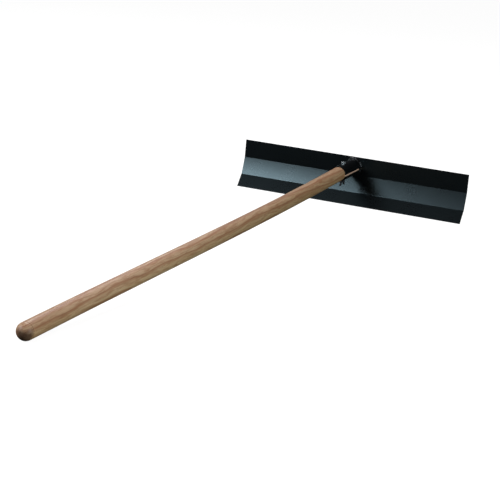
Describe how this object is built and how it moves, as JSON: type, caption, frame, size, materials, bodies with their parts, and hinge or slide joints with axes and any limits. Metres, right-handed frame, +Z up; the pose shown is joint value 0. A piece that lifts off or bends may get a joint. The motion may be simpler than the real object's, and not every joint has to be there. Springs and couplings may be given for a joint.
{
  "type": "hand concrete placer",
  "caption": "Hand concrete placer: a long steel blade of flat facets on a straight wooden handle, held in a split welded socket by a bolt and wing nut.",
  "frame": {"origin": "on the floor, below the middle of the tool's overall box, as it lies on the blade's bottom edge and the handle's butt", "axes": "+Z up, +X along the blade, +Y from the handle's butt towards the blade"},
  "size_m": [0.495, 1.2222, 0.0961],
  "materials": {
    "black_steel": "satin black powder coat",
    "handle_wood": "turned beech, thinly sealed",
    "weld": "painted weld bead",
    "zinc_plated": "bright zinc plate",
    "dark_zinc": "dulled zinc plate"
  },
  "bodies": {
    "tool": {"blade": "black_steel", "handle": "handle_wood", "socket_upper_shell": "black_steel", "socket_lower_shell": "black_steel", "upper_weld_bead": "weld", "lower_weld_bead": "weld", "clamp_bolt": "zinc_plated", "head_washer": "zinc_plated"},
    "clamp_washer": {"nut_washer": "dark_zinc"},
    "wing_nut": {"wing_nut": "dark_zinc"}
  },
  "joints": [
    {"name": "washer_drop", "type": "slide", "parent": "tool", "child": "clamp_washer", "axis": [0, 0.0508, -0.9987], "range_m": [0, 0.004]},
    {"name": "wing_nut_turn", "type": "hinge", "parent": "clamp_washer", "child": "wing_nut", "pos_m": [0, 0.55481, 0.05562], "axis": [0, 0.0508, -0.9987], "range_deg": [0, 1800]}
  ],
  "couplings": [
    {"joint": "wing_nut_turn", "follows": "washer_drop", "rad_per_m": 7854}
  ]
}
